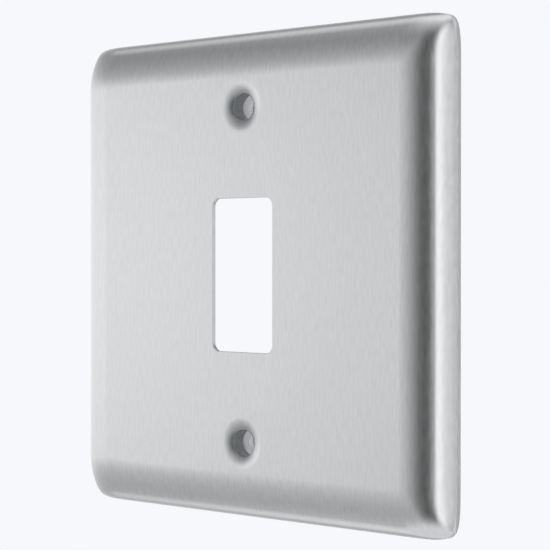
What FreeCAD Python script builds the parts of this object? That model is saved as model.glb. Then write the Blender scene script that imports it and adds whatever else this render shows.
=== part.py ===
import FreeCAD, Part
import math
import os

# Grid switch plate for one module, upright as on the wall.
# X runs across the plate, Z runs up, and the front looks along -Y.
# The origin is the middle of the wall face, which the seal's rear rim lies in.

# Outline of the pressed plate
PLATE_SIZE = 87.8
SHEET_THICKNESS = 0.8

# Domed border: a wide crown arc runs into a tight edge arc that is cut off short of upright.
# Across a corner the drops of the two sides add up, which rounds the rim there.
CROWN_RADIUS = 13.5
CROWN_ANGLE = 29.0
EDGE_RADIUS = 4.1
EDGE_CUT_ANGLE = 84.0
EDGE_END_ANGLE = 88.0

# Opening for the switch module
APERTURE_WIDTH = 14.5
APERTURE_HEIGHT = 27.6
APERTURE_CORNER_RADIUS = 1.5

# Dished seats of the two fixing screws: a gentle flare, then a steep neck down to the hole
SCREW_CENTRES = 60.3
SCREW_HOLE_DIAMETER = 4.5
SEAT_DEPTH = 2.65
SEAT_WALL_ANGLE = 88.0
SEAT_FLOOR_ANGLE = 82.0
SEAT_ENTRY_RADIUS = 5.0
SEAT_ENTRY_ANGLE = 27.0

# Moulded seal that lines the back and stands behind the rim
SEAL_THICKNESS = 0.6
SEAL_RIM_DEPTH = 1.1
SEAL_RIM_LEDGE = 0.1
SEAL_CLEARANCE = 0.06
SEAL_SIDE_WIDTH = 12.0
SEAL_SCREW_MARGIN = 7.0
SEAL_OPENING_RADIUS = 3.0

# Screw grips of the seal, which stop the loose screws from falling out
GRIP_HOLE_DIAMETER = 2.7
GRIP_LIP_WIDTH = 0.3
GRIP_LIP_HEIGHT = 0.35
GRIP_GAP = 0.9
GRIP_WALL_GAP = 0.2
GRIP_WALL = 0.55

# How far cutting bodies run past the faces that they cut
OVERRUN = 2.0

Y_AXIS = FreeCAD.Vector(0, 1, 0)


def dome_point(angle, inset=0):
    """Distance outward from the flat face and drop below it, where the slope is angle."""
    a = math.radians(angle)
    knee = math.radians(min(angle, CROWN_ANGLE))
    crown = CROWN_RADIUS - inset
    edge = EDGE_RADIUS - inset
    out = crown * math.sin(knee) + edge * (math.sin(a) - math.sin(knee))
    drop = crown * (1 - math.cos(knee)) + edge * (math.cos(knee) - math.cos(a))
    return out, drop


DOME_WIDTH, DOME_RISE = dome_point(EDGE_CUT_ANGLE)
FLAT_HALF = PLATE_SIZE / 2 - DOME_WIDTH
RIM_Y = -SEAL_RIM_DEPTH
FACE_Y = RIM_Y - DOME_RISE
SEAL_OUTSIDE = SHEET_THICKNESS + SEAL_CLEARANCE
SEAL_INSIDE = SEAL_OUTSIDE + SEAL_THICKNESS


def arc_span(start, end, inset):
    """Control points, as pairs across and down, of the dome's arc between two slopes."""
    radius = (CROWN_RADIUS if end <= CROWN_ANGLE else EDGE_RADIUS) - inset
    handle = 4 / 3 * math.tan(math.radians(end - start) / 4) * radius
    out, drop = dome_point(start, inset)
    far_out, far_drop = dome_point(end, inset)
    a = math.radians(start)
    b = math.radians(end)
    return [(FLAT_HALF + out, drop),
            (FLAT_HALF + out + handle * math.cos(a), drop + handle * math.sin(a)),
            (FLAT_HALF + far_out - handle * math.cos(b), far_drop - handle * math.sin(b)),
            (FLAT_HALF + far_out, far_drop)]


def section_spans(inset):
    """Section of the dome from edge to edge: two arcs, the flat face and two arcs."""
    crown = arc_span(0, CROWN_ANGLE, inset)
    edge = arc_span(CROWN_ANGLE, EDGE_END_ANGLE, inset)
    flat = [(-FLAT_HALF, 0), (FLAT_HALF, 0)]
    mirrored = [[(-across, drop) for across, drop in reversed(span)] for span in (edge, crown)]
    return mirrored + [flat, crown, edge]


def patch(x_span, z_span, y_front):
    """Face of the dome over two spans, whose drops across and along add up."""
    poles = []
    for x, x_drop in x_span:
        poles.append([FreeCAD.Vector(x, y_front + x_drop + z_drop, z) for z, z_drop in z_span])
    x_count = len(x_span)
    z_count = len(z_span)
    surface = Part.BSplineSurface()
    surface.buildFromPolesMultsKnots(poles, [x_count, x_count], [z_count, z_count], [0, 1], [0, 1],
                                     False, False, x_count - 1, z_count - 1)
    return surface.toShape()


def side_wall(spans, y_front, y_back, place):
    """Upright face from the dome's outermost curve back to y_back; place turns it to a side."""
    half, end_drop = spans[-1][-1]
    edges = []
    for span in spans:
        curve = Part.BezierCurve()
        curve.setPoles([place(y_front + end_drop + drop, along) for along, drop in span])
        edges.append(curve.toShape())
    y_corner = y_front + 2 * end_drop
    turns = [(y_corner, half), (y_back, half), (y_back, -half), (y_corner, -half)]
    points = [place(y, along) for y, along in turns]
    for start, end in zip(points, points[1:]):
        edges.append(Part.LineSegment(start, end).toShape())
    return Part.Face(Part.Wire(edges))


def domed_block(inset, y_end):
    """Solid from the plate's front surface, moved in by inset, back to the plane at y_end."""
    y_front = FACE_Y + inset
    y_back = 2 * DOME_RISE + OVERRUN
    spans = section_spans(inset)
    half = spans[-1][-1][0]
    faces = [patch(x_span, z_span, y_front) for x_span in spans for z_span in spans]
    for side in (-half, half):
        faces.append(side_wall(spans, y_front, y_back, lambda y, along: FreeCAD.Vector(side, y, along)))
        faces.append(side_wall(spans, y_front, y_back, lambda y, along: FreeCAD.Vector(along, y, side)))
    corners = [(-half, -half), (half, -half), (half, half), (-half, half), (-half, -half)]
    faces.append(Part.Face(Part.makePolygon([FreeCAD.Vector(x, y_back, z) for x, z in corners])))
    shell = Part.makeShell(faces)
    shell.sewShape()
    body = Part.makeSolid(shell)
    if body.Volume < 0:
        body.reverse()
    corner = FreeCAD.Vector(-PLATE_SIZE, y_front - OVERRUN, -PLATE_SIZE)
    room = Part.makeBox(2 * PLATE_SIZE, y_end - y_front + OVERRUN, 2 * PLATE_SIZE, corner)
    return body.common(room)


def rounded_rectangle(width, height, radius, y):
    """Closed wire round the Y axis, in the plane at y."""
    w = width / 2
    h = height / 2
    diagonal = radius * (1 - math.sqrt(0.5))
    edges = []
    corners = ((1, -1), (1, 1), (-1, 1), (-1, -1))
    for index, (sx, sz) in enumerate(corners):
        along_x = FreeCAD.Vector(sx * (w - radius), y, sz * h)
        along_z = FreeCAD.Vector(sx * w, y, sz * (h - radius))
        middle = FreeCAD.Vector(sx * (w - diagonal), y, sz * (h - diagonal))
        start, end = (along_x, along_z) if sx * sz < 0 else (along_z, along_x)
        edges.append(Part.Arc(start, middle, end).toShape())
        nx, nz = corners[(index + 1) % 4]
        if nx == sx:
            far = FreeCAD.Vector(sx * w, y, nz * (h - radius))
        else:
            far = FreeCAD.Vector(nx * (w - radius), y, sz * h)
        edges.append(Part.LineSegment(end, far).toShape())
    return Part.Wire(edges)


def rounded_prism(width, height, radius, y_front, y_back):
    face = Part.Face(rounded_rectangle(width, height, radius, y_front))
    return face.extrude(FreeCAD.Vector(0, y_back - y_front, 0))


def seat_void(inset, z):
    """Space in front of a screw seat, moved in by inset along the seat's normal."""
    wall = math.radians(SEAT_WALL_ANGLE)
    floor = math.radians(SEAT_FLOOR_ANGLE)
    entry = math.radians(SEAT_ENTRY_ANGLE)
    entry_drop = SEAT_ENTRY_RADIUS * (1 - math.cos(entry))
    bowl_radius = (SEAT_DEPTH - entry_drop) / (math.cos(floor) - math.cos(wall))
    bowl_r = SCREW_HOLE_DIAMETER / 2 - bowl_radius * math.sin(floor)
    bowl_depth = SEAT_DEPTH - bowl_radius * math.cos(floor)

    def place(r, depth):
        return FreeCAD.Vector(r, FACE_Y + depth, z)

    def on_bowl(angle):
        reach = bowl_radius + inset
        return place(bowl_r + reach * math.sin(angle), bowl_depth + reach * math.cos(angle))

    low = on_bowl(floor)
    high = on_bowl(wall)
    edges = [Part.Arc(low, on_bowl((floor + wall) / 2), high).toShape()]
    if inset == 0:
        entry_r = high.x + SEAT_ENTRY_RADIUS * math.sin(entry)
        bend = entry / 2
        middle = place(entry_r - SEAT_ENTRY_RADIUS * math.sin(bend),
                       SEAT_ENTRY_RADIUS * (1 - math.cos(bend)))
        rim = place(entry_r, 0)
        edges.append(Part.Arc(high, middle, rim).toShape())
        top = place(entry_r, -OVERRUN)
        edges.append(Part.LineSegment(rim, top).toShape())
    else:
        climb = high.y - FACE_Y + OVERRUN
        top = place(high.x + climb / math.tan(wall), -OVERRUN)
        edges.append(Part.LineSegment(high, top).toShape())
    axis_top = place(0, -OVERRUN)
    axis_low = FreeCAD.Vector(0, low.y, z)
    edges.append(Part.LineSegment(top, axis_top).toShape())
    edges.append(Part.LineSegment(axis_top, axis_low).toShape())
    edges.append(Part.LineSegment(axis_low, low).toShape())
    face = Part.Face(Part.Wire(edges))
    return face.revolve(FreeCAD.Vector(0, 0, z), Y_AXIS, 360)


def screw_heights():
    return (-SCREW_CENTRES / 2, SCREW_CENTRES / 2)


def disc(radius, y_front, y_back, z):
    return Part.makeCylinder(radius, y_back - y_front, FreeCAD.Vector(0, y_front, z), Y_AXIS)


def form(inset, y_end=RIM_Y):
    """Domed block with both screw seats sunk in it, moved in by inset."""
    return domed_block(inset, y_end).cut([seat_void(inset, z) for z in screw_heights()])


def front_plate():
    plate = form(0).cut(form(SHEET_THICKNESS))
    aperture = rounded_prism(APERTURE_WIDTH, APERTURE_HEIGHT, APERTURE_CORNER_RADIUS,
                             FACE_Y - OVERRUN, FACE_Y + OVERRUN)
    holes = [disc(SCREW_HOLE_DIAMETER / 2, FACE_Y, 0, z) for z in screw_heights()]
    return plate.cut([aperture] + holes)


def seal_rim():
    """Slab behind the plate's edge that stands out round it by a narrow ledge."""
    block = domed_block(-SEAL_RIM_LEDGE, RIM_Y)
    outline = max(block.Faces, key=lambda face: face.CenterOfMass.y)
    return outline.extrude(FreeCAD.Vector(0, -RIM_Y, 0))


def gasket():
    """Thin moulded liner, its rim behind the plate's edge and its two screw grips."""
    hollow = form(SEAL_INSIDE, OVERRUN)
    seat_back = SEAT_DEPTH + SHEET_THICKNESS * math.cos(math.radians(SEAT_FLOOR_ANGLE))
    pocket_y = FACE_Y + seat_back + GRIP_GAP
    pocket_r = SCREW_HOLE_DIAMETER / 2 + SEAL_OUTSIDE * math.sin(math.radians(SEAT_FLOOR_ANGLE))
    grip_y = -GRIP_WALL_GAP
    grip_r = GRIP_HOLE_DIAMETER / 2
    heights = screw_heights()
    bosses = [disc(pocket_r + GRIP_WALL, FACE_Y, grip_y, z) for z in heights]
    pockets = [disc(pocket_r, FACE_Y, pocket_y, z) for z in heights]
    lips = [disc(grip_r + GRIP_LIP_WIDTH, pocket_y - GRIP_LIP_HEIGHT, pocket_y, z) for z in heights]
    holes = [disc(grip_r, FACE_Y, grip_y + OVERRUN, z) for z in heights]
    opening = rounded_prism(PLATE_SIZE - 2 * SEAL_SIDE_WIDTH, SCREW_CENTRES - 2 * SEAL_SCREW_MARGIN,
                            SEAL_OPENING_RADIUS, FACE_Y, 0)
    liner = form(SEAL_OUTSIDE).fuse(seal_rim()).cut(hollow.cut(bosses))
    return liner.cut(pockets + [opening]).fuse(lips).cut(holes)


def save(shape, name):
    solids = shape.Solids
    solid = solids[0] if len(solids) == 1 else Part.makeCompound(solids)
    solid.exportStep("parts/" + name + ".step")
    print(name, "solids", len(solids), "valid", solid.isValid(), "volume", round(solid.Volume, 2))


os.makedirs("parts", exist_ok=True)
save(front_plate(), "front_plate")
save(gasket(), "gasket")
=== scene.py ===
import bmesh
import bpy
import math
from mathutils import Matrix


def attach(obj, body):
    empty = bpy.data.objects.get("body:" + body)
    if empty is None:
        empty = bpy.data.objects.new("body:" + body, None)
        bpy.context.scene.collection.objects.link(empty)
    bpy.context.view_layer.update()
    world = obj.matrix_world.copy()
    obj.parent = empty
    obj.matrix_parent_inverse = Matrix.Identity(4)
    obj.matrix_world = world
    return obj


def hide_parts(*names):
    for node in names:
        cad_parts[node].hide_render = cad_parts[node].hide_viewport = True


# Grid switch plate with its seal, upright as on the wall, in metres.
# X runs across the plate, Z runs up, and the front looks along -Y.

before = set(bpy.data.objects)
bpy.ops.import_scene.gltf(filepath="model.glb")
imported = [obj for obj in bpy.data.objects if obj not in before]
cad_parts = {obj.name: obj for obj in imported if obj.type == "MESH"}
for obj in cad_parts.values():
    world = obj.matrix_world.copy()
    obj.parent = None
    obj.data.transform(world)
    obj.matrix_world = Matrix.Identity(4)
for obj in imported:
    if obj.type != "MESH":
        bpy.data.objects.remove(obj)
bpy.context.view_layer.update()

MM = 0.001

# Pressed plate
PLATE_SIZE = 87.8
SHEET_THICKNESS = 0.8
CROWN_RADIUS = 13.5
CROWN_ANGLE = 29.0
EDGE_RADIUS = 4.1
EDGE_CUT_ANGLE = 84.0
EDGE_END_ANGLE = 88.0

# Opening and screw seats
APERTURE_WIDTH = 14.5
APERTURE_HEIGHT = 27.6
APERTURE_CORNER_RADIUS = 1.5
SCREW_CENTRES = 60.3
SCREW_HOLE_DIAMETER = 4.5
SEAT_DEPTH = 2.65
SEAT_WALL_ANGLE = 88.0
SEAT_FLOOR_ANGLE = 82.0
SEAT_ENTRY_RADIUS = 5.0
SEAT_ENTRY_ANGLE = 27.0

# Seal
SEAL_THICKNESS = 0.6
SEAL_RIM_DEPTH = 1.1
SEAL_RIM_LEDGE = 0.1
SEAL_CLEARANCE = 0.06
SEAL_SIDE_WIDTH = 12.0
SEAL_SCREW_MARGIN = 7.0
SEAL_OPENING_RADIUS = 3.0
GRIP_HOLE_DIAMETER = 2.7
GRIP_LIP_WIDTH = 0.3
GRIP_LIP_HEIGHT = 0.35
GRIP_GAP = 0.9
GRIP_WALL_GAP = 0.2
GRIP_WALL = 0.55

# How far down a seat the brushing reaches; below it the steel is rough and fully darkened with painted
# shade
DULL_SHADE_DEPTH = 0.6

# Small rounding that punching, pressing and moulding leave on edges
PUNCHED_EDGE = 0.12
PRESSED_EDGE = 0.04
PRESSED_BACK = 0.3
MOULDED_EDGE = 0.1

# Most of a side that the rounding at one of its ends may take
BEND_SHARE = 0.45

# Mesh fineness: steps round a corner, along a side, round and down a screw seat, and down the dome
CORNER_STEPS = 36
SIDE_STEPS = 12
SEAT_STEPS = 96
BOWL_STEPS = 14
ENTRY_STEPS = 14
BEND_STEPS = 4
DOME_STEP_ANGLE = 2.5
DOME_FIRST_STEP = 0.4


def dome_point(angle, inset=0):
    """Distance outward from the flat face and drop below it, where the slope is angle."""
    a = math.radians(angle)
    knee = math.radians(min(angle, CROWN_ANGLE))
    crown = CROWN_RADIUS - inset
    edge = EDGE_RADIUS - inset
    out = crown * math.sin(knee) + edge * (math.sin(a) - math.sin(knee))
    drop = crown * (1 - math.cos(knee)) + edge * (math.cos(knee) - math.cos(a))
    return out, drop


DOME_WIDTH, DOME_RISE = dome_point(EDGE_CUT_ANGLE)
FLAT_HALF = PLATE_SIZE / 2 - DOME_WIDTH
RIM_Y = -SEAL_RIM_DEPTH
FACE_Y = RIM_Y - DOME_RISE
SEAL_OUTSIDE = SHEET_THICKNESS + SEAL_CLEARANCE
SEAL_INSIDE = SEAL_OUTSIDE + SEAL_THICKNESS


def dome_reach(drop, inset):
    """Distance outward from the flat face where one side of the dome has fallen by drop."""
    knee = math.radians(CROWN_ANGLE)
    crown = CROWN_RADIUS - inset
    edge = EDGE_RADIUS - inset
    knee_drop = crown * (1 - math.cos(knee))
    end_out, end_drop = dome_point(EDGE_END_ANGLE, inset)
    if drop <= knee_drop:
        return crown * math.sin(math.acos(1 - drop / crown))
    if drop >= end_drop:
        return end_out
    a = math.acos(math.cos(knee) - (drop - knee_drop) / edge)
    return crown * math.sin(knee) + edge * (math.sin(a) - math.sin(knee))


# Direction of the side that follows each corner, across and up
SIDE_TURNS = ((-1, 0), (0, -1), (1, 0), (0, 1))


def dome_outline(drop, inset):
    """Plan of the dome where the drops of its two sides add up to the given one."""
    points = []
    for corner in range(4):
        sx = 1 if corner in (0, 3) else -1
        sz = 1 if corner in (0, 1) else -1
        for i in range(CORNER_STEPS + 1):
            turn = math.pi / 2 * i / CORNER_STEPS
            first = FLAT_HALF + dome_reach(drop * math.cos(turn) ** 2, inset)
            second = FLAT_HALF + dome_reach(drop * math.sin(turn) ** 2, inset)
            x, z = (first, second) if corner % 2 == 0 else (second, first)
            points.append((sx * x, sz * z))
        x, z = points[-1]
        for i in range(1, SIDE_STEPS):
            step = 2 * FLAT_HALF * i / SIDE_STEPS
            points.append((x + SIDE_TURNS[corner][0] * step, z + SIDE_TURNS[corner][1] * step))
    return points


def dome_drops(inset, y_limit):
    """Drops of the dome's levels, from part of a step off the flat face to the plane at y_limit."""
    deepest = y_limit - FACE_Y - inset
    count = round(EDGE_END_ANGLE / DOME_STEP_ANGLE)
    angles = [EDGE_END_ANGLE * (i + DOME_FIRST_STEP) / count for i in range(count)]
    drops = [dome_point(angle, inset)[1] for angle in angles]
    return [drop for drop in drops if drop < deepest] + [deepest]


def dome_levels(inset, y_limit):
    """Levels of the dome as outline, half width and y."""
    levels = []
    for drop in dome_drops(inset, y_limit):
        half = FLAT_HALF + dome_reach(drop, inset)
        levels.append((dome_outline(drop, inset), half, FACE_Y + inset + drop))
    return levels


def mixed(first, second, share):
    """Outline that lies the given share of the way from the first to the second."""
    return [(a + (c - a) * share, b + (d - b) * share) for (a, b), (c, d) in zip(first, second)]


def bend(before, corner, after, radius):
    """Points of the rounding of a corner between two neighbours, each point a pair."""
    back = [b - c for b, c in zip(before, corner)]
    ahead = [a - c for a, c in zip(after, corner)]
    back_length = math.hypot(*back)
    ahead_length = math.hypot(*ahead)
    back = [v / back_length for v in back]
    ahead = [v / ahead_length for v in ahead]
    half_angle = math.acos(max(-1, min(1, back[0] * ahead[0] + back[1] * ahead[1]))) / 2
    reach = min(radius / math.tan(half_angle), BEND_SHARE * back_length, BEND_SHARE * ahead_length)
    start = [c + reach * v for c, v in zip(corner, back)]
    end = [c + reach * v for c, v in zip(corner, ahead)]
    points = []
    for i in range(BEND_STEPS + 1):
        t = i / BEND_STEPS
        points.append(tuple((1 - t) ** 2 * s + 2 * t * (1 - t) * c + t ** 2 * e
                            for s, c, e in zip(start, corner, end)))
    return points


def rounded_outline(half_width, half_height, radius):
    """Points round a rounded rectangle, as pairs across and up."""
    points = []
    for corner in range(4):
        start = math.pi / 2 * corner
        sx = 1 if corner in (0, 3) else -1
        sz = 1 if corner in (0, 1) else -1
        cx = sx * (half_width - radius)
        cz = sz * (half_height - radius)
        for i in range(CORNER_STEPS + 1):
            turn = start + math.pi / 2 * i / CORNER_STEPS
            points.append((cx + radius * math.cos(turn), cz + radius * math.sin(turn)))
        length = 2 * ((half_width if corner % 2 == 0 else half_height) - radius)
        x, z = points[-1]
        for i in range(1, SIDE_STEPS):
            step = length * i / SIDE_STEPS
            points.append((x + SIDE_TURNS[corner][0] * step, z + SIDE_TURNS[corner][1] * step))
    return points


class Shell:
    """Closed thin piece made of rings between a front and a back fill."""

    def __init__(self):
        self.mesh = bmesh.new()
        self.sheet = self.mesh.verts.layers.float_vector.new("sheet")
        # Per-vertex share of unbrushed steel and painted shade down the screw seats
        self.dull_shade = self.mesh.verts.layers.float.new("dull_shade")

    def ring(self, points, y, run, dull_shade=0.0):
        """One closed ring; run is how far it lies along the sheet, and the last value how little it is
        brushed and how much painted shade darkens it.
        """
        verts = []
        for x, z in points:
            vert = self.mesh.verts.new((x * MM, y * MM, z * MM))
            vert[self.sheet] = (x * MM, run * MM, z * MM)
            vert[self.dull_shade] = dull_shade
            verts.append(vert)
        return verts

    def join(self, first, second):
        count = len(first)
        for i in range(count):
            j = (i + 1) % count
            self.mesh.faces.new((first[i], first[j], second[j], second[i]))

    def stack(self, rings):
        for first, second in zip(rings, rings[1:]):
            self.join(first, second)

    def fill(self, rings):
        edges = []
        for ring in rings:
            for i, vert in enumerate(ring):
                edges.append(self.mesh.edges.get((vert, ring[(i + 1) % len(ring)])))
        bmesh.ops.triangle_fill(self.mesh, use_beauty=True, edges=edges)

    def finish(self, name):
        bmesh.ops.recalc_face_normals(self.mesh, faces=self.mesh.faces)
        data = bpy.data.meshes.new(name)
        self.mesh.to_mesh(data)
        self.mesh.free()
        for polygon in data.polygons:
            polygon.use_smooth = True
        piece = bpy.data.objects.new(name, data)
        bpy.context.scene.collection.objects.link(piece)
        weighted = piece.modifiers.new("even_shading", "WEIGHTED_NORMAL")
        weighted.mode = "FACE_AREA"
        weighted.weight = 100
        return piece


def running_length(profile):
    lengths = [0.0]
    for a, b in zip(profile, profile[1:]):
        lengths.append(lengths[-1] + math.dist(a, b))
    return lengths


def outline_stack(shell, levels):
    """Rings at levels of outline, half width and y."""
    rings = []
    for (outline, _, y), run in zip(levels, running_length([level[1:] for level in levels])):
        rings.append(shell.ring(outline, y, run))
    shell.stack(rings)
    return rings


def window_levels(half_width, half_height, radius, wall):
    """Levels of an opening's wall, given as pairs outward and y."""
    return [(rounded_outline(half_width + out, half_height + out, radius + out), half_width + out, y)
            for out, y in wall]


def round_stack(shell, profile, z):
    """Rings round a screw's axis at a profile of (radius, y), less brushed and darker with painted
    shade below the depth the brushing reaches.
    """
    rings = []
    for (radius, y), run in zip(profile, running_length(profile)):
        dull_shade = min(1.0, (y - FACE_Y) / DULL_SHADE_DEPTH)
        points = []
        for i in range(SEAT_STEPS):
            turn = 2 * math.pi * i / SEAT_STEPS
            points.append((radius * math.cos(turn), z + radius * math.sin(turn)))
        rings.append(shell.ring(points, y, run, dull_shade))
    shell.stack(rings)
    return rings


def seat_geometry():
    """Radius and centre of the bowl arc of a screw seat, as radius, r and depth."""
    wall = math.radians(SEAT_WALL_ANGLE)
    floor = math.radians(SEAT_FLOOR_ANGLE)
    entry_drop = SEAT_ENTRY_RADIUS * (1 - math.cos(math.radians(SEAT_ENTRY_ANGLE)))
    bowl_radius = (SEAT_DEPTH - entry_drop) / (math.cos(floor) - math.cos(wall))
    bowl_r = SCREW_HOLE_DIAMETER / 2 - bowl_radius * math.sin(floor)
    return bowl_radius, bowl_r, SEAT_DEPTH - bowl_radius * math.cos(floor)


def bowl_point(slope, inset):
    bowl_radius, bowl_r, bowl_depth = seat_geometry()
    reach = bowl_radius + inset
    a = math.radians(slope)
    return bowl_r + reach * math.sin(a), FACE_Y + bowl_depth + reach * math.cos(a)


def bowl_profile(start, end, inset):
    return [bowl_point(start + (end - start) * i / BOWL_STEPS, inset) for i in range(BOWL_STEPS + 1)]


def seat_front():
    """Profile of a screw seat from the face to the edge of its hole."""
    flare = math.radians(SEAT_ENTRY_ANGLE)
    bowl = bowl_profile(SEAT_WALL_ANGLE, SEAT_FLOOR_ANGLE, 0)
    entry_r = bowl[0][0] + SEAT_ENTRY_RADIUS * math.sin(flare)
    entry = []
    for i in range(ENTRY_STEPS):
        a = flare * i / ENTRY_STEPS
        entry.append((entry_r - SEAT_ENTRY_RADIUS * math.sin(a),
                      FACE_Y + SEAT_ENTRY_RADIUS * (1 - math.cos(a))))
    return entry + bend(entry[-1], bowl[0], bowl[1], PRESSED_EDGE) + bowl[1:]


def seat_mouth(inset):
    """Corner where the wall behind a seat meets the level behind the flat face."""
    high_r, high_y = bowl_point(SEAT_WALL_ANGLE, inset)
    climb = high_y - (FACE_Y + inset)
    return high_r + climb / math.tan(math.radians(SEAT_WALL_ANGLE)), FACE_Y + inset


def seat_back(inset, end_slope=SEAT_FLOOR_ANGLE):
    """Profile of the surface behind a screw seat, from the flat level inward."""
    mouth = seat_mouth(inset)
    high = bowl_point(SEAT_WALL_ANGLE, inset)
    outside = (mouth[0] + 1, mouth[1])
    return bend(outside, mouth, high, PRESSED_BACK) + bowl_profile(SEAT_WALL_ANGLE, end_slope, inset)


def screw_heights():
    return (-SCREW_CENTRES / 2, SCREW_CENTRES / 2)


def make_plate():
    shell = Shell()
    outside = dome_levels(0, RIM_Y)
    inside = dome_levels(SHEET_THICKNESS, RIM_Y)
    outer, outer_half, _ = outside[-1]
    inner, inner_half, _ = inside[-1]
    foot = ((outer_half, RIM_Y), (inner_half, RIM_Y))
    rim = []
    for half, y in (bend(outside[-2][1:], foot[0], foot[1], PUNCHED_EDGE)
                    + bend(foot[0], foot[1], inside[-2][1:], PUNCHED_EDGE)):
        share = (outer_half - half) / (outer_half - inner_half)
        rim.append((mixed(outer, inner, share), half, y))
    border = outline_stack(shell, outside[:-1] + rim + inside[-2::-1])

    back_y = FACE_Y + SHEET_THICKNESS
    wall = (bend((1, FACE_Y), (0, FACE_Y), (0, back_y), PUNCHED_EDGE)
            + bend((0, FACE_Y), (0, back_y), (1, back_y), PUNCHED_EDGE))
    aperture = outline_stack(shell, window_levels(APERTURE_WIDTH / 2, APERTURE_HEIGHT / 2,
                                                  APERTURE_CORNER_RADIUS, wall))

    front, back = [border[0], aperture[0]], [border[-1], aperture[-1]]
    seat = seat_front()
    behind = seat_back(SHEET_THICKNESS)
    corners = [seat[-2], seat[-1], (seat[-1][0], behind[-1][1]), behind[-1], behind[-2]]
    lip = []
    for before, corner, after in zip(corners, corners[1:], corners[2:]):
        lip += bend(before, corner, after, PUNCHED_EDGE)
    for z in screw_heights():
        rings = round_stack(shell, seat[:-1] + lip + behind[-2::-1], z)
        front.append(rings[0])
        back.append(rings[-1])
    shell.fill(front)
    shell.fill(back)
    return shell.finish("steel_plate")


def seal_foot(outside, inside):
    """Levels of the seal's rim, from the ledge under the plate round to its inner side."""
    ledge, ledge_half, _ = outside[-1]
    foot, foot_half, _ = inside[-1]
    outer = dome_outline(DOME_RISE + SEAL_RIM_LEDGE, -SEAL_RIM_LEDGE)
    outer_half = PLATE_SIZE / 2 + SEAL_RIM_LEDGE
    corners = [(ledge_half, RIM_Y), (outer_half, RIM_Y), (outer_half, 0), (foot_half, 0),
               inside[-2][1:]]
    levels = []
    for before, corner, after in zip(corners, corners[1:], corners[2:]):
        for half, y in bend(before, corner, after, MOULDED_EDGE):
            if half > ledge_half:
                outline = mixed(outer, ledge, (outer_half - half) / (outer_half - ledge_half))
            else:
                outline = mixed(ledge, foot, (ledge_half - half) / (ledge_half - foot_half))
            levels.append((outline, half, y))
    return levels


def make_seal():
    shell = Shell()
    outside = dome_levels(SEAL_OUTSIDE, RIM_Y)
    inside = dome_levels(SEAL_INSIDE, 0)
    border = outline_stack(shell, outside + seal_foot(outside, inside) + inside[-2::-1])

    front_y, back_y = FACE_Y + SEAL_OUTSIDE, FACE_Y + SEAL_INSIDE
    wall = (bend((1, front_y), (0, front_y), (0, back_y), MOULDED_EDGE)
            + bend((0, front_y), (0, back_y), (1, back_y), MOULDED_EDGE))
    window = outline_stack(shell, window_levels(PLATE_SIZE / 2 - SEAL_SIDE_WIDTH,
                                                SCREW_CENTRES / 2 - SEAL_SCREW_MARGIN,
                                                SEAL_OPENING_RADIUS, wall))

    floor = math.radians(SEAT_FLOOR_ANGLE)
    pocket_r = SCREW_HOLE_DIAMETER / 2 + SEAL_OUTSIDE * math.sin(floor)
    pocket_y = FACE_Y + SEAT_DEPTH + SHEET_THICKNESS * math.cos(floor) + GRIP_GAP
    grip_r = GRIP_HOLE_DIAMETER / 2
    grip_y = -GRIP_WALL_GAP
    lip_r = grip_r + GRIP_LIP_WIDTH
    lip_y = pocket_y - GRIP_LIP_HEIGHT
    boss_r = pocket_r + GRIP_WALL
    bowl_radius, bowl_r, _ = seat_geometry()
    boss_slope = math.degrees(math.asin((boss_r - bowl_r) / (bowl_radius + SEAL_INSIDE)))
    front, back = [border[0], window[0]], [border[-1], window[-1]]
    for z in screw_heights():
        down = seat_back(SEAL_OUTSIDE)
        up = seat_back(SEAL_INSIDE, boss_slope)
        corners = [down[-1], (pocket_r, pocket_y), (lip_r, pocket_y), (lip_r, lip_y), (grip_r, lip_y),
                   (grip_r, grip_y), (boss_r, grip_y), up[-1]]
        profile = list(down)
        for before, corner, after in zip(corners, corners[1:], corners[2:]):
            profile += bend(before, corner, after, MOULDED_EDGE)
        rings = round_stack(shell, profile + up[::-1], z)
        front.append(rings[0])
        back.append(rings[-1])
    shell.fill(front)
    shell.fill(back)
    return shell.finish("seal")


def linear(hex_colour):
    """Linear colour of an sRGB hex value."""
    values = []
    for i in (1, 3, 5):
        c = int(hex_colour[i:i + 2], 16) / 255
        values.append(c / 12.92 if c <= 0.04045 else ((c + 0.055) / 1.055) ** 2.4)
    return (*values, 1.0)


def add_node(tree, kind, settings=None, links=None):
    """Adds a node, sets its properties and sockets, and links other nodes' outputs to it."""
    node = tree.nodes.new(kind)
    for name, value in (settings or {}).items():
        if isinstance(name, str) and hasattr(node, name):
            setattr(node, name, value)
        else:
            node.inputs[name].default_value = value
    for name, output in (links or {}).items():
        tree.links.new(output, node.inputs[name])
    return node


def new_material(name):
    material = bpy.data.materials.new(name)
    material.use_nodes = True
    material.node_tree.nodes.clear()
    return material, material.node_tree


# Satin stainless steel, brushed upright: a fine grain that spreads reflections sideways. A real
# grain is about 0.1 mm wide, too fine to show here, so it is drawn coarser. Down the screw seats
# its light and dark streaks fade and the steel turns duller, and it is darkened with painted shade
# that stands in for the shade falling in these recesses.
STEEL_COLOUR = "#C8C9CB"
RIDGE_COLOUR = "#DEDFE0"
# Painted shade: the darker colour of the screw seats stands in for the shade in their recesses
SEAT_SHADE_COLOUR = "#A2A5A7"
STEEL_ROUGHNESS = 0.19
SEAT_ROUGHNESS = 0.3
STEEL_SPREAD = 0.4
GRAIN_WIDTH = 0.45
GRAIN_LENGTH = 2.4
GRAIN_DEPTH = 0.01
GRAIN_STRENGTH = 0.3
GRAIN_ROUGHNESS = 0.04


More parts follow.
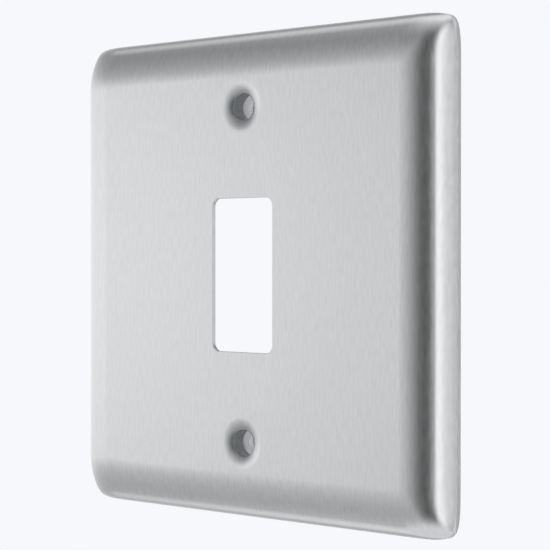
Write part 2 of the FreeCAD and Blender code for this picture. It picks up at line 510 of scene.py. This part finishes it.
def brushed_stainless_steel():
    material, tree = new_material("brushed_stainless_steel")
    place = add_node(tree, "ShaderNodeAttribute", {"attribute_name": "sheet"})
    across_scale = 1 / (GRAIN_WIDTH * MM)
    along_scale = 1 / (GRAIN_LENGTH * MM)
    stretched = add_node(tree, "ShaderNodeMapping", {"Scale": (across_scale, along_scale, along_scale)},
                         {"Vector": place.outputs["Vector"]})
    grain = add_node(tree, "ShaderNodeTexNoise", {"Scale": 1.0, "Detail": 3.0, "Roughness": 0.6},
                     {"Vector": stretched.outputs["Vector"]})
    dull_shade = add_node(tree, "ShaderNodeAttribute", {"attribute_name": "dull_shade"})
    brushed = add_node(tree, "ShaderNodeMixRGB", {"Color1": linear(STEEL_COLOUR),
                                                  "Color2": linear(RIDGE_COLOUR)},
                       {"Fac": grain.outputs["Fac"]})
    # Painted shade: down the seats the grain colour gives way to the darker seat colour
    shaded_colour = add_node(tree, "ShaderNodeMixRGB", {"Color2": linear(SEAT_SHADE_COLOUR)},
                    {"Fac": dull_shade.outputs["Fac"], "Color1": brushed.outputs["Color"]})
    haze = add_node(tree, "ShaderNodeMapRange", {"To Min": STEEL_ROUGHNESS, "To Max": SEAT_ROUGHNESS},
                    {"Value": dull_shade.outputs["Fac"]})
    ripple = add_node(tree, "ShaderNodeMapRange",
                      {"To Min": -GRAIN_ROUGHNESS, "To Max": GRAIN_ROUGHNESS},
                      {"Value": grain.outputs["Fac"]})
    rough = add_node(tree, "ShaderNodeMath", {"operation": "ADD"},
                     {0: haze.outputs["Result"], 1: ripple.outputs["Result"]})
    ridges = add_node(tree, "ShaderNodeBump",
                      {"Strength": GRAIN_STRENGTH, "Distance": GRAIN_DEPTH * MM},
                      {"Height": grain.outputs["Fac"]})
    across = add_node(tree, "ShaderNodeTangent", {"direction_type": "RADIAL", "axis": "Z"})
    steel = add_node(tree, "ShaderNodeBsdfPrincipled",
                     {"Metallic": 1.0, "Anisotropic": STEEL_SPREAD},
                     {"Base Color": shaded_colour.outputs["Color"], "Roughness": rough.outputs["Value"],
                      "Normal": ridges.outputs["Normal"], "Tangent": across.outputs["Tangent"]})
    add_node(tree, "ShaderNodeOutputMaterial", links={"Surface": steel.outputs["BSDF"]})
    return material


# Clear frosted silicone, moulded: milky where it is thick, with a soft and slightly cloudy sheen
SEAL_COLOUR = "#EDEEEF"
SEAL_IOR = 1.41
SEAL_CLEARNESS = 0.6
SEAL_SMOOTHEST = 0.16
SEAL_ROUGHEST = 0.26
CLOUD_SIZE = 1.5


def frosted_silicone():
    material, tree = new_material("frosted_silicone")
    place = add_node(tree, "ShaderNodeTexCoord")
    cloud = add_node(tree, "ShaderNodeTexNoise", {"Scale": 1 / (CLOUD_SIZE * MM), "Detail": 2.0},
                     {"Vector": place.outputs["Object"]})
    rough = add_node(tree, "ShaderNodeMapRange", {"To Min": SEAL_SMOOTHEST, "To Max": SEAL_ROUGHEST},
                     {"Value": cloud.outputs["Fac"]})
    seal = add_node(tree, "ShaderNodeBsdfPrincipled",
                    {"Base Color": linear(SEAL_COLOUR), "IOR": SEAL_IOR,
                     "Transmission Weight": SEAL_CLEARNESS},
                    {"Roughness": rough.outputs["Result"]})
    add_node(tree, "ShaderNodeOutputMaterial", links={"Surface": seal.outputs["BSDF"]})
    return material


# Studio: white walls, which metal mirrors, with a dark gap in front of the plate
BACKDROP_COLOUR = "#F7F8FC"

# Brightness of the studio by compass angle at eye level: 0 is straight in front of the plate,
# 90 is at its right
WALL_STOPS = ((-180, 1.0), (-140, 1.15), (-107, 1.12), (-87, 1.1), (-50, 1.16), (-42, 0.99),
              (-38, 0.89), (-32, 0.8), (-22, 0.63), (-12, 0.42), (-4, 0.21), (4, 0.1), (15, 0.08),
              (18, 0.4), (21, 0.92), (29, 1.26), (38, 1.36), (50, 1.28), (60, 1.1), (78, 0.93),
              (98, 0.9), (116, 0.77), (150, 0.8), (180, 1.0))

# Brightness above and below, by height from straight down at -90 to straight up
HEIGHT_STOPS = ((-90, 1.1), (-66, 1.1), (-58, 1.05), (-52, 0.82), (-46, 0.6), (-38, 0.53),
                (-29, 0.57), (-18, 0.68), (18, 0.57), (29, 0.43), (38, 0.35), (44, 0.38),
                (52, 0.52), (60, 0.72), (75, 1.05), (90, 1.1))

# By compass angle: the height in degrees from which a direction's height starts to settle its
# brightness, over a span
RISE_STOPS = ((-180, 1), (-26, 1), (-10, 38), (62, 38), (90, 20), (120, 1), (180, 1))
RISE_SPAN = 20

# By compass angle: how much of that holds far up and down, from one height on to another
SPREAD_STOPS = ((-180, 1.0), (-124, 1.0), (-112, 0.5), (-98, 0.45), (-85, 0.6), (-72, 0.85),
                (-60, 1.0), (90, 1.0), (180, 1.0))
SPREAD_START = 34.0
SPREAD_END = 46.0


def ramp_node(tree, stops, span, value):
    """Ramp through the stops over an angle, given as a share of its span, and its peak."""
    ramp = add_node(tree, "ShaderNodeValToRGB", links={"Fac": value})
    peak = max(level for _, level in stops)
    elements = ramp.color_ramp.elements
    while len(elements) < len(stops):
        elements.new(0.5)
    for element, (angle, level) in zip(elements, stops):
        element.position = (angle + span / 2) / span
        element.color = (level / peak, level / peak, level / peak, 1)
    scaled = add_node(tree, "ShaderNodeMath", {"operation": "MULTIPLY", 1: peak},
                      {0: ramp.outputs["Color"]})
    return scaled.outputs["Value"]


def studio_walls(tree):
    """Brightness of the studio in the direction that a ray leaves in."""
    place = add_node(tree, "ShaderNodeTexCoord")
    axes = add_node(tree, "ShaderNodeSeparateXYZ", links={"Vector": place.outputs["Generated"]})
    front = add_node(tree, "ShaderNodeMath", {"operation": "MULTIPLY", 1: -1.0},
                     {0: axes.outputs["Y"]})
    compass = add_node(tree, "ShaderNodeMath", {"operation": "ARCTAN2"},
                       {0: axes.outputs["X"], 1: front.outputs["Value"]})
    turn = add_node(tree, "ShaderNodeMapRange", {"From Min": -math.pi, "From Max": math.pi},
                    {"Value": compass.outputs["Value"]})
    height = add_node(tree, "ShaderNodeMath", {"operation": "ARCSINE"}, {0: axes.outputs["Z"]})
    climb = add_node(tree, "ShaderNodeMapRange", {"From Min": -math.pi / 2, "From Max": math.pi / 2},
                     {"Value": height.outputs["Value"]})
    wall = ramp_node(tree, WALL_STOPS, 360, turn.outputs["Result"])
    level = ramp_node(tree, HEIGHT_STOPS, 180, climb.outputs["Result"])
    spread = ramp_node(tree, SPREAD_STOPS, 360, turn.outputs["Result"])
    rise = ramp_node(tree, RISE_STOPS, 360, turn.outputs["Result"])
    far = add_node(tree, "ShaderNodeMath", {"operation": "ADD", 1: float(RISE_SPAN)}, {0: rise})
    degrees = add_node(tree, "ShaderNodeMath", {"operation": "MULTIPLY", 1: 180 / math.pi},
                       {0: height.outputs["Value"]})
    steep = add_node(tree, "ShaderNodeMath", {"operation": "ABSOLUTE"}, {0: degrees.outputs["Value"]})
    reach = add_node(tree, "ShaderNodeMapRange", {"interpolation_type": "SMOOTHSTEP"}, {
        "Value": steep.outputs["Value"], "From Min": rise, "From Max": far.outputs["Value"]})
    held = add_node(tree, "ShaderNodeMapRange",
                    {"From Min": SPREAD_START, "From Max": SPREAD_END, "To Min": 1.0},
                    {"Value": steep.outputs["Value"], "To Max": spread})
    share = add_node(tree, "ShaderNodeMath", {"operation": "MULTIPLY"},
                     {0: reach.outputs["Result"], 1: held.outputs["Result"]})
    lit = add_node(tree, "ShaderNodeMapRange", links={"Value": share.outputs["Value"], "To Min": wall,
                                                      "To Max": level})
    return lit.outputs["Result"]


def make_world():
    world = bpy.data.worlds.new("studio")
    bpy.context.scene.world = world
    world.use_nodes = True
    tree = world.node_tree
    tree.nodes.clear()
    backdrop = add_node(tree, "ShaderNodeBackground",
                        {"Color": linear(BACKDROP_COLOUR), "Strength": 1.0})
    walls = add_node(tree, "ShaderNodeBackground", {"Color": (1, 1, 1, 1)},
                     {"Strength": studio_walls(tree)})
    path = add_node(tree, "ShaderNodeLightPath")
    clear = add_node(tree, "ShaderNodeMath", {"operation": "MAXIMUM"},
                     {0: path.outputs["Is Camera Ray"], 1: path.outputs["Is Transmission Ray"]})
    mixed_light = add_node(tree, "ShaderNodeMixShader", links={
        0: clear.outputs["Value"], 1: walls.outputs["Background"], 2: backdrop.outputs["Background"]})
    add_node(tree, "ShaderNodeOutputWorld", links={"Surface": mixed_light.outputs["Shader"]})


# Camera, fitted to the plate's edges, opening and screw holes
CAMERA_AZIMUTH = 42.0
CAMERA_PITCH = 0.6
CAMERA_DISTANCE = 326.3
CAMERA_SIDESTEP = 1.96
CAMERA_HEIGHT = 3.4
FOCAL_PIXELS = 1798.0
IMAGE_PIXELS = 550.0
SENSOR_WIDTH = 36.0


def make_camera():
    data = bpy.data.cameras.new("camera")
    data.sensor_width = SENSOR_WIDTH
    data.lens = FOCAL_PIXELS * SENSOR_WIDTH / IMAGE_PIXELS
    camera = bpy.data.objects.new("camera", data)
    bpy.context.scene.collection.objects.link(camera)
    a = math.radians(CAMERA_AZIMUTH)
    camera.location = ((CAMERA_DISTANCE * math.sin(a) + CAMERA_SIDESTEP * math.cos(a)) * MM,
                       (CAMERA_SIDESTEP * math.sin(a) - CAMERA_DISTANCE * math.cos(a)) * MM,
                       CAMERA_HEIGHT * MM)
    camera.rotation_euler = (math.radians(90 - CAMERA_PITCH), 0, a)
    bpy.context.scene.camera = camera


# Pale painted floor far below, which metal mirrors as the backdrop
FLOOR_DROP = 450.0
FLOOR_SIZE = 480.0


def make_floor():
    data = bpy.data.meshes.new("floor")
    half = FLOOR_SIZE / 2 * MM
    z = -FLOOR_DROP * MM
    data.from_pydata([(-half, -half, z), (half, -half, z), (half, half, z), (-half, half, z)],
                     [], [(0, 1, 2, 3)])
    floor = bpy.data.objects.new("floor", data)
    bpy.context.scene.collection.objects.link(floor)
    material, tree = new_material("pale_floor")
    paint = add_node(tree, "ShaderNodeBsdfDiffuse", {"Color": linear(BACKDROP_COLOUR)})
    backdrop = add_node(tree, "ShaderNodeEmission",
                        {"Color": linear(BACKDROP_COLOUR), "Strength": 1.0})
    path = add_node(tree, "ShaderNodeLightPath")
    surface = add_node(tree, "ShaderNodeMixShader", links={
        0: path.outputs["Is Glossy Ray"], 1: paint.outputs["BSDF"], 2: backdrop.outputs["Emission"]})
    add_node(tree, "ShaderNodeOutputMaterial", links={"Surface": surface.outputs["Shader"]})
    data.materials.append(material)


plate = make_plate()
plate.data.materials.append(brushed_stainless_steel())
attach(plate, "root")
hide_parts("front_plate")

seal = make_seal()
seal.data.materials.append(frosted_silicone())
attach(seal, "root")
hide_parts("gasket")

make_world()
make_camera()
make_floor()
bpy.context.scene.view_settings.view_transform = "Standard"
